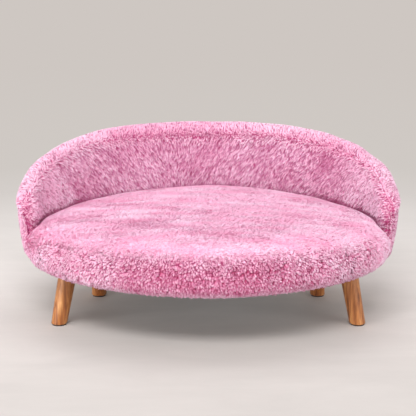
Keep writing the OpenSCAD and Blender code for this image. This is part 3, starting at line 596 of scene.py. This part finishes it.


# The long pile's ground is darker than the seat top's by painted shade, deep and saturated, at the pile's
# base
PLUSH_GROUND = ground_material("plush_ground", (178, 42, 104), (208, 84, 142))
SEAT_GROUND = ground_material("seat_ground", (232, 146, 190), (248, 182, 214))
# Each pile's root colour is painted shade deep in the pile: darkest on the rim, slight on the seat's top
BACK_PILE = pile_material("back_pile", root=(206, 58, 124), mid=(250, 175, 212), tip=(255, 224, 244),
                          patch_scale=(9, 9, 9), patch=(246, 220, 232), low=(0.68, 0.37, 0.51))
RIM_PILE = pile_material("rim_pile", root=(156, 28, 86), mid=(242, 148, 192), tip=(255, 222, 242),
                         patch_scale=(12, 12, 12), patch=(246, 218, 230), low=(0.7, 0.3, 0.45))
TOP_PILE = pile_material("top_pile", root=(249, 171, 212), mid=(255, 214, 238), tip=(255, 227, 246),
                         patch_scale=(9, 34, 16), patch=(255, 216, 233), low=(0.93, 0.6, 0.74))

# ---------------------------------------------------------------- the back
# The nose's rings, and how far it turns; the rings between the noses, and the angle at which an arm ends
NOSE_RINGS, NOSE_TURN, MAIN_RINGS, ARM_END = 14, 89, 175, 3
TURNS = np.radians(np.linspace(NOSE_TURN, 0, NOSE_RINGS, endpoint=False))
MAIN = np.radians(np.linspace(ARM_END, 180 - ARM_END, MAIN_RINGS))
# Where the parting line crosses the crest's arc, in degrees, at angles from the arm's end to the rear
PARTING_AT, PARTING_ARC = [3, 4.5, 11.8, 16.3, 23.6, 38.4, 60.5, 90], [117, 118, 125, 133, 149, 164, 172, 180]
# The height of the seat along the inner face, at angles all round
SEAT_LINE_AT, SEAT_LINE = [0, 12, 90, 168, 180], [214, 216, 234, 216, 214]
# The pile's lean from upright in degrees, at the parting line, outside, inside and on the nose's tip
LEAN_PART, LEAN_OUT, LEAN_IN, LEAN_TIP = 24, 58, 71, 33
# Its share of flow along the wall outside and inside, and how much more the nose has
ALONG_OUT, ALONG_IN, ALONG_NOSE = 0.22, 0.62, 0.8
# Its tint factors, which paint light and shade: outside, inside at the rear and at the arms, in the locks'
# creases, on the nose's tip, and the shadow below the seat
SHADE_OUT, SHADE_REAR, SHADE_ARM, SHADE_LOCK, SHADE_TIP, SHADE_LOW = 1.8, 0.67, 2.0, 0.6, 1.15, 0.05
# Its wildness at the parting line, outside, inside and on the nose, and its gathering in the last three
WILD_PART, WILD_OUT, WILD_IN, WILD_NOSE = 0.7, 0.3, 0.04, 0.1
GATHER_OUT, GATHER_IN, GATHER_NOSE = 0.5, 1.0, 0.7
# Its depth and length in mm, the depth at the foot's edges, and the share that the nose keeps
DEPTH_OUT, DEPTH_IN, DEPTH_EDGE, LONG_NEAR, LONG_FAR, NOSE_KEEPS = 4.4, 6.0, 0.3, 7.5, 13.5, 0.8
# How uneven the wall is, in mm, and the point of its section along which the locks are measured
BACK_UNEVEN, LOCK_POINT = 1.4, 40
# Its density outside and inside, at the parting line and below the seat
DENSE_OUT, DENSE_IN, DENSE_PART, DENSE_LOW = 1.3, 1.0, 1.5, 0.35

rings = [wall_ring(MAIN[0], a, -1) for a in TURNS] + [wall_ring(t) for t in MAIN]
rings += [wall_ring(MAIN[-1], a, 1) for a in TURNS[::-1]]
wall = np.array(rings)
wall_t = np.concatenate([np.full(NOSE_RINGS, MAIN[0]), MAIN, np.full(NOSE_RINGS, MAIN[-1])])
n_u, n_v = wall.shape[:2]
true_wall = wall.copy()
flat_wall = wall.reshape(-1, 3)


def on_wall(seed, size):
    return sines(flat_wall, seed, size).reshape(n_u, n_v)


e_u, e_v, e_n = grid_normals(wall)
wall += e_n * (-BACK_UNEVEN * on_wall(3, 95.0) * (np.arange(n_v) > 2))[..., None]
foot = wall[..., 2]

# q is the distance in mm from the parting line, above 0 on the inner side; nose_k is 1 at the nose's tip
deg = np.degrees(np.minimum(wall_t, math.pi - wall_t))
part_at = 2 + N_SIDE + np.interp(deg, PARTING_AT, PARTING_ARC) / 180 * (N_ARC - 1)
steps = np.linalg.norm(np.diff(wall, axis=1), axis=2)
run = np.concatenate([np.zeros((n_u, 1)), np.cumsum(steps, 1)], 1)
part_run = np.array([np.interp(part_at[i], np.arange(n_v), run[i]) for i in range(n_u)])
q = run - part_run[:, None]
q = q + (4.0 * on_wall(9, 60.0) + 2.0 * on_wall(10, 14.0))
inward_side = fade(q, -3, 3)
near = fade(np.abs(q), 0, 18)
nose_k = np.concatenate([np.sin(TURNS), np.zeros(len(MAIN)), np.sin(TURNS[::-1])])[:, None]
tip_k = fade(nose_k, 0.72, 0.98)

# The pile's flow meets a little to one side of the rear's middle, and goes away from each arm outside
meet = math.radians(103) + 0.07 * on_wall(21, 80.0)
rearward = np.tanh((meet - wall_t[:, None]) / 0.12)
along_share = mix(ALONG_OUT, ALONG_IN, inward_side) * (1 + ALONG_NOSE * nose_k)
away = np.where(np.arange(n_u)[:, None] < n_u / 2, 1.0, -1.0)
along_sign = mix(away, rearward, (1 - nose_k) * inward_side)
flow = e_v * (2 * inward_side - 1)[..., None] + e_u * (along_share * along_sign)[..., None]
lean = np.radians(mix(mix(LEAN_PART, mix(LEAN_OUT, LEAN_IN, inward_side), near), LEAN_TIP, tip_k))

# Locks are broad streaks along the pile of the inner face; their darker streaks are painted crease shade,
# with tone that varies at random
middle_line = wall[:, LOCK_POINT]
along = np.concatenate([[0], np.cumsum(np.linalg.norm(np.diff(middle_line, axis=0), axis=1))])[:, None]
across = along + ALONG_IN * rearward * foot
locks = sines(np.stack([across, foot / 5, 0 * across], -1).reshape(-1, 3), 33, 55.0).reshape(n_u, n_v)
at_arm = fade(deg, 38, 16)[:, None]
# Painted shade inside at the rear, painted light at the arms, on the lit outside and on the nose's tip
shade_in = mix(SHADE_REAR, SHADE_ARM, at_arm) * mix(1.0, SHADE_LOCK, fade(locks, 0.1, 0.9))
shade = mix(SHADE_OUT, shade_in, inward_side * near) * mix(1, SHADE_TIP, tip_k)
# A painted shadow: the pile just above the seat's edge, where the cushion meets the back, goes dark
seat_line = np.interp(np.degrees(wall_t), SEAT_LINE_AT, SEAT_LINE)[:, None]
seat_shadow = fade(foot, seat_line + 5, seat_line - 1) * inward_side * (1 - 0.5 * nose_k)
shade = shade * mix(1.0, SHADE_LOW, seat_shadow)

wild = mix(mix(WILD_OUT, WILD_IN, inward_side), WILD_NOSE, nose_k)
wild = mix(WILD_PART, wild, fade(np.abs(q), 1, 9))
gather = mix(mix(GATHER_OUT, GATHER_IN, inward_side), GATHER_NOSE, nose_k)
on_face = ((np.arange(n_v) > 1) & (np.arange(n_v) < n_v - 1))[None]
depth = np.where(on_face, 1.0, 0.1) * mix(DEPTH_OUT, DEPTH_IN, inward_side) * mix(1, NOSE_KEEPS, nose_k)
depth = depth * fade(run, -1, 19) * mix(1.0, 0.5, fade(foot, 165, 145) * inward_side)
depth[:, :2] = DEPTH_EDGE
length = mix(LONG_NEAR, LONG_FAR, fade(q, 0, 26) * (1 - nose_k)) * mix(1, NOSE_KEEPS, nose_k)
weight = np.where(on_face, 1.0, 0.0) * mix(DENSE_OUT, DENSE_IN, inward_side)
weight = weight * mix(1.0, DENSE_LOW, fade(foot, 205, 185) * inward_side) * mix(DENSE_PART, 1.0, near)

back = Skin(wall, depth, flow, weight, length, lean, shade, wild, gather)
caps = [list(range(n_v))[::-1], list(range((n_u - 1) * n_v, n_u * n_v))]
back_skin = new_object("back_plush_ground", back.co, list(back.quads) + caps, [PLUSH_GROUND])
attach(back_skin, "base")
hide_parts("back_cover")
grow_pile("back_pile", back, "base", BACK_PILE, count=258000, parts=4, width=1.0, tuft=3.4,
          pull=0.85, swirl=0.11, seed=11, vary=0.9)


def settled(node, ground, depth, mat, body):
    """The node's soft filling, with its faces pressed in so that they lie depth under the cover's outside."""
    source = nodes[node]
    co = np.array([source.matrix_world @ v.co for v in source.data.vertices]) / MM
    for i, v in enumerate(co):
        at, _, _, dist = ground.find_nearest(Vector(v))
        if at is not None and 0.05 < dist < depth:
            co[i] += unit(v - np.array(at)) * (depth - dist)
    faces = [list(f.vertices) for f in source.data.polygons]
    obj = new_object(node + "_settled", co, faces, [mat], smooth_faces=False)
    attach(obj, body)
    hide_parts(node)
    return obj


def tree_of(grid):
    """The nearest-point tree of a closed-round grid of points."""
    nu, nv = grid.shape[:2]
    quads = [[i * nv + j, (i + 1) * nv + j, (i + 1) * nv + (j + 1) % nv, i * nv + (j + 1) % nv]
             for i in range(nu - 1) for j in range(nv)]
    return BVHTree.FromPolygons(grid.reshape(-1, 3).tolist(), quads)


FOAM = porous_material("foam", (206, 196, 160), (240, 233, 204), 700)
FIBRE = porous_material("fibre", (214, 214, 212), (246, 246, 245), 260)
# How deep the fillings lie under the covers' outside, in mm
BACK_FOAM_DEEP, SEAT_FOAM_DEEP, FIBRE_DEEP = 8.4, 9.4, 7.0
for name in ("back_foam_inner", "back_foam_outer"):
    settled(name, tree_of(true_wall), BACK_FOAM_DEEP, FOAM, "base")

# ---------------------------------------------------------------- the cushion
# The pile's lean in degrees, and its length and depth in mm, on the top and where it is shaggy
LEAN_TOP, LEAN_SHAG = 56, 50
LONG_TOP, LONG_SHAG, DEEP_TOP, DEEP_SHAG = 5.2, 7.6, 2.9, 5.6
# How uneven the skin is, in mm, and how much lower it lies for that
SEAT_UNEVEN, SEAT_LOWER = 1.2, 0.6
# Its tint factors, which paint light and shade: light on the top and its edge, lighter toward the shaded
# foot, and the clefts' shade on the rim's middle; its density where the back hides it
SHADE_EDGE, SHADE_FOOT, SHADE_RIM, DENSE_HIDDEN = 1.2, 1.7, 0.55, 0.15
# The zip's slot in the underside: its half length, its front and rear edge, its lip's height, and the pieces
# of its long and short sides
SLOT_X, SLOT_FRONT, SLOT_REAR, SLOT_LIP, SLOT_LONG, SLOT_SHORT = 198, 53, 67, 2.2, 24, 3

outline = seat_outline()
n_o = len(outline)
edge = seat_level(outline, 90)[:, :2]
crowns = [mix(SEAT_C, edge, k) for k in np.linspace(0.02, 0.98, 34)]
angles = np.linspace(90, -90, 44)
levels = [np.column_stack([c, crown_z(c)]) for c in crowns] + [seat_level(outline, a) for a in angles]
seat = np.array(levels)
# kind is 90 on the top, 0 where the side is fullest and -90 at the foot
kind = np.concatenate([np.full(len(crowns), 90.0), angles])[:, None]
rear = outline[:, 2][None]
s_u, _, s_n = grid_normals(seat)
flat_seat = seat.reshape(-1, 3)
uneven = sines(flat_seat, 5, 120.0).reshape(seat.shape[:2])
true_seat = seat.copy()
seat = seat + s_n * (SEAT_UNEVEN * uneven - SEAT_LOWER)[..., None] * np.where(kind > -60, 1, 0)[..., None]
aside = np.abs(seat[..., 0])
every = np.ones_like(seat[..., 0])

# shag is 1 on the hanging rim, with its longer pile, and fades at the sides
shag = fade(kind, 56, 14) * (1 - rear) * (1 - 0.9 * fade(aside, 315, 375))
east = np.zeros_like(seat)
east[..., 0] = 1.0
east[..., 1] = 0.4 * sines(flat_seat * np.array([1, 2.2, 1]), 31, 150.0).reshape(seat.shape[:2])
flow = mix(east + 0.3 * s_u, s_u, smooth(shag * 1.5)[..., None])
lean = np.radians(mix(LEAN_TOP, LEAN_SHAG, shag))
length = mix(LONG_TOP, LONG_SHAG, shag)
depth = mix(DEEP_TOP, DEEP_SHAG, shag) * every * fade(kind, -92, -67)
angle = np.degrees(np.arctan2(outline[:, 1] - SEAT_C[1], np.abs(outline[:, 0])))[None]
weight = np.where(kind > -88, 1.0, 0.0) * every
weight = weight * mix(1.0, DENSE_HIDDEN, fade(kind, 40, 20) * fade(angle, 12, 22))
middle = fade(aside, 300, 140) * fade(kind, 50, 10) * fade(kind, -85, -35)
# Painted light on the top and its edge and more toward the rim's shaded foot, painted cleft shade darkening
# the rim's middle
shade = mix(mix(SHADE_EDGE, SHADE_FOOT, fade(kind, 20, -70)), SHADE_RIM, middle)
cushion = Skin(seat, depth, flow, weight, length, lean, shade, 0.3 * shag, 1.0)
if cushion.normal.reshape(seat.shape)[0, :, 2].mean() < 0:
    raise SystemExit("the cushion's ground is inside out")

# The ground: the skin, a point that closes it at the top, and two rings that tuck its foot in on the deck
inward = unit(outline[:, :2] - SEAT_C)
tucked = [np.column_stack([outline[:, :2] - inward * RIM_W, mix(SKIRT, WALL_FOOT, outline[:, 3])]),
          np.column_stack([outline[:, :2] - inward * (RIM_W + 2), np.full(n_o, WALL_FOOT)])]
co = np.vstack([[*SEAT_C, SEAT_H - 3.2], cushion.co, *tucked])
faces = [[0, 1 + j, 1 + (j + 1) % n_o] for j in range(n_o)]
faces += list(cushion.quads + 1)
last = 1 + (len(levels) - 1) * n_o
for a in (last, last + n_o):
    faces += [[a + j, a + n_o + j, a + n_o + (j + 1) % n_o, a + (j + 1) % n_o] for j in range(n_o)]
UNDER = cloth_material("cushion_underside", (196, 110, 150), (226, 148, 184), 0.0022)
cushion_skin = new_object("cushion_plush_ground", co, faces, [PLUSH_GROUND, UNDER, SEAT_GROUND])
# The top's faces take the lighter seat ground, the rest the ground darkened by painted shade
shag_at = (shag * every).reshape(-1)
on_top = np.concatenate([np.ones(n_o, bool), shag_at[cushion.quads].max(1) < 0.6])
for i in np.flatnonzero(on_top):
    cushion_skin.data.polygons[i].material_index = 2

# The underside, with the zip's slot
bm = bmesh.new()
bm.from_mesh(cushion_skin.data)
bm.verts.ensure_lookup_table()
ring = [bm.verts[last + 2 * n_o + j] for j in range(n_o)]
slot_ends = [(-SLOT_X, SLOT_FRONT), (SLOT_X, SLOT_FRONT), (SLOT_X, SLOT_REAR), (-SLOT_X, SLOT_REAR)]
corners = []
for i, (x0, y0) in enumerate(slot_ends):
    x1, y1 = slot_ends[(i + 1) % 4]
    for k in np.linspace(0, 1, SLOT_SHORT if x0 == x1 else SLOT_LONG, endpoint=False):
        corners.append(bm.verts.new(Vector((mix(x0, x1, k), mix(y0, y1, k), WALL_FOOT)) * MM))
loop = [bm.edges.get((ring[j], ring[(j + 1) % n_o])) for j in range(n_o)]
loop += [bm.edges.new((corners[j], corners[(j + 1) % len(corners)])) for j in range(len(corners))]
fill = bmesh.ops.triangle_fill(bm, use_beauty=True, use_dissolve=False, edges=loop, normal=(0, 0, -1))
lip = [bm.verts.new((v.co.x, v.co.y, v.co.z + SLOT_LIP * MM)) for v in corners]
bottom = [g for g in fill["geom"] if isinstance(g, bmesh.types.BMFace)]
bottom += [bm.faces.new((corners[j], corners[j - 1], lip[j - 1], lip[j])) for j in range(len(corners))]
for face in bottom:
    face.material_index = 1
    face.smooth = False
bm.normal_update()
bm.to_mesh(cushion_skin.data)
bm.free()
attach(cushion_skin, "cushion")
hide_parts("cushion_cover")
cushion.weight = (weight * (1 - shag)).reshape(-1)
grow_pile("seat_pile", cushion, "cushion", TOP_PILE, count=195000, parts=4, width=1.1, tuft=3.8,
          pull=0.06, swirl=0.1, seed=41, stretch=(0.5, 1, 1), upright=0.2, rounded=0.15, vary=0.2, grain=0.35)
cushion.weight = (weight * shag).reshape(-1)
grow_pile("rim_pile", cushion, "cushion", RIM_PILE, count=150000, parts=3, width=0.92, tuft=3.5,
          pull=0.95, swirl=0.35, seed=51, upright=0.6, rounded=0.6)

settled("cushion_foam", tree_of(true_seat), SEAT_FOAM_DEEP, FOAM, "cushion")
settled("cushion_fibre", tree_of(true_seat), FIBRE_DEEP, FIBRE, "cushion")

# ---------------------------------------------------------------- finishes of the CAD nodes
# How far each leg leans, in degrees along X and Y
LEG_LEAN = {"leg_front_left": (-10.7, -4), "leg_front_right": (10.7, -4),
            "leg_rear_left": (-4.5, 9), "leg_rear_right": (4.5, 9)}
finish = {}
for i, (name, (lx, ly)) in enumerate(LEG_LEAN.items()):
    finish[name] = wood_material(name + "_wood", lx, ly, (3.1 * i, 1.7 * i, 0.37 * i))
PLY = plywood_material()
ZINC = metal_material("zinc_steel", (176, 178, 182), 0.34)
BRASS = metal_material("brass", (200, 165, 96), 0.36)
NICKEL = metal_material("nickel", (205, 205, 208), 0.25)
GLIDE = plastic_material("glide_plastic", (36, 30, 26), 0.6, 400)
TEETH = plastic_material("tooth_plastic", (222, 140, 178), 0.45, 500)
DECK = cloth_material("deck_fabric", (206, 128, 166), (236, 168, 200), 0.0016)
DUST = cloth_material("dust_cloth", (10, 10, 12), (28, 28, 31), 0.003)
TAPE = cloth_material("zip_tape", (200, 118, 158), (228, 152, 188), 0.0012)
finish |= {"base_board": PLY, "back_rail": PLY, "back_panel": PLY, "back_insert_nuts": BRASS,
           "zip_top_stop": NICKEL, "zip_bottom_stop": NICKEL, "zip_slider": NICKEL,
           "zip_teeth": TEETH, "zip_tape": TAPE, "deck_cover": DECK, "dust_cover": DUST,
           "back_foam_inner": FOAM, "back_foam_outer": FOAM, "cushion_foam": FOAM, "cushion_fibre": FIBRE}
for name, obj in nodes.items():
    look = finish.get(name, GLIDE if name.startswith("glide") else ZINC)
    if not obj.material_slots:
        obj.data.materials.append(look)
    for slot in obj.material_slots:
        slot.material = look

# ---------------------------------------------------------------- floor, light and camera
FAR = srgb(206, 199, 194)
FLOOR_REACH, FAR_REACH = 60000, 5.0


def shown_over(tree, lit, shown, fac, kind):
    """The tree's output shows lit, and shown over it by fac."""
    over = tree.nodes.new("ShaderNodeMixShader")
    tree.links.new(fac, over.inputs["Fac"])
    tree.links.new(lit, over.inputs[1])
    tree.links.new(shown, over.inputs[2])
    out = next(n for n in tree.nodes if n.type == kind)
    tree.links.new(over.outputs["Shader"], out.inputs["Surface"])


def stage_material():
    """Pale concrete that is lit near the bed, painted lighter toward the back where the key light falls off,
    and that shows the camera one even colour far away.
    """
    m = Mat("studio_floor", rough=0.9, Specular_IOR_Level=0.1)
    reach = m.t.nodes.new("ShaderNodeVectorMath")
    reach.operation = "LENGTH"
    m.link(m.coords, reach.inputs[0])
    away = m.math("DIVIDE", reach.outputs["Value"], FAR_REACH)
    cloudy = m.noise(m.mapped((3, 9, 9)), detail=9.0, rough=0.66, distortion=0.6)
    sep = m.t.nodes.new("ShaderNodeSeparateXYZ")
    m.link(m.coords, sep.inputs["Vector"])
    # Painted light: darker in front, where the key light is strong, and lighter toward the back, where it
    # falls off
    back = m.math("ADD", sep.outputs["Y"], 0.6)
    falloff_paint = m.ramp(back, (0.0, srgb(197, 192, 189)), (0.45, srgb(208, 203, 200)), (0.85, srgb(224, 220, 217)))
    m.colour(m.blend(falloff_paint, m.ramp(cloudy, (0.3, grey(0.91)), (0.68, grey(1.0))), 1.0))
    glow = m.t.nodes.new("ShaderNodeEmission")
    m.link(m.ramp(away, (0.18, srgb(224, 218, 215)), (0.27, srgb(213, 207, 203)), (0.36, srgb(207, 201, 196)),
                  (1.0, FAR)), glow.inputs["Color"])
    seen = m.math("MULTIPLY", m.ramp(away, (0.1, grey(0)), (0.28, grey(1))), background_rays(m.t))
    shown_over(m.t, m.bsdf.outputs["BSDF"], glow.outputs["Emission"], seen, "OUTPUT_MATERIAL")
    return m.m


turn = np.radians(np.arange(0, 360, 5))
rim = np.column_stack([FLOOR_REACH * np.cos(turn), FLOOR_REACH * np.sin(turn), 0 * turn])
floor = new_object("studio_floor", rim, [list(range(len(rim)))], [stage_material()])
floor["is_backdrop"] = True


def softbox(name, at, aim, size, power):
    data = bpy.data.lights.new(name, "AREA")
    data.shape, data.size, data.size_y = "RECTANGLE", *size
    data.energy = power
    obj = bpy.data.objects.new(name, data)
    obj.location = at
    obj.rotation_euler = (Vector(aim) - Vector(at)).to_track_quat("-Z", "Y").to_euler()
    obj.visible_camera = False
    bpy.context.scene.collection.objects.link(obj)


softbox("key", (-0.4, -2.5, 2.5), (0, -0.05, 0.2), (2.0, 0.8), 78)
softbox("overhead", (0.0, 0.4, 2.4), (0, 0.1, 0.2), (2.4, 1.2), 12)
softbox("front_left", (-2.6, -2.0, 0.55), (0, 0, 0.1), (2.0, 0.9), 60)
softbox("front_right", (2.6, -2.0, 0.75), (0, 0, 0.1), (2.0, 0.9), 34)
softbox("behind", (0.0, 3.0, 0.8), (0, 0, 0.15), (2.8, 0.8), 15)

world = bpy.data.worlds.new("studio")
world.use_nodes = True
tree = world.node_tree
ambient = next(n for n in tree.nodes if n.type == "BACKGROUND")
ambient.inputs["Color"].default_value = (1.0, 0.955, 0.935, 1.0)
ambient.inputs["Strength"].default_value = 0.6
backdrop = tree.nodes.new("ShaderNodeBackground")
backdrop.inputs["Color"].default_value = FAR
shown_over(tree, ambient.outputs["Background"], backdrop.outputs["Background"], background_rays(tree),
           "OUTPUT_WORLD")
scene = bpy.context.scene
scene.world = world
scene.view_settings.view_transform = "Standard"

# The camera that was fitted to the photo: its focal length and shift in the photo's pixels, and its tilt down
PHOTO, FOCAL, SHIFT, TILT = 416, 1160, -0.3, 13.2
cam = bpy.data.cameras.new("camera")
cam.sensor_width, cam.lens = 36.0, FOCAL / PHOTO * 36
cam.shift_x = SHIFT / PHOTO
cam_obj = bpy.data.objects.new("camera", cam)
cam_obj.location = (0.0, -2.5, 0.824)
cam_obj.rotation_euler = (math.radians(90 - TILT), 0.0, 0.0)
scene.collection.objects.link(cam_obj)
scene.camera = cam_obj

as_numbers = lambda b: [[float(v) for v in corner] for corner in b]
{"cad": as_numbers(cad_bounds), "visual": as_numbers(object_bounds())}
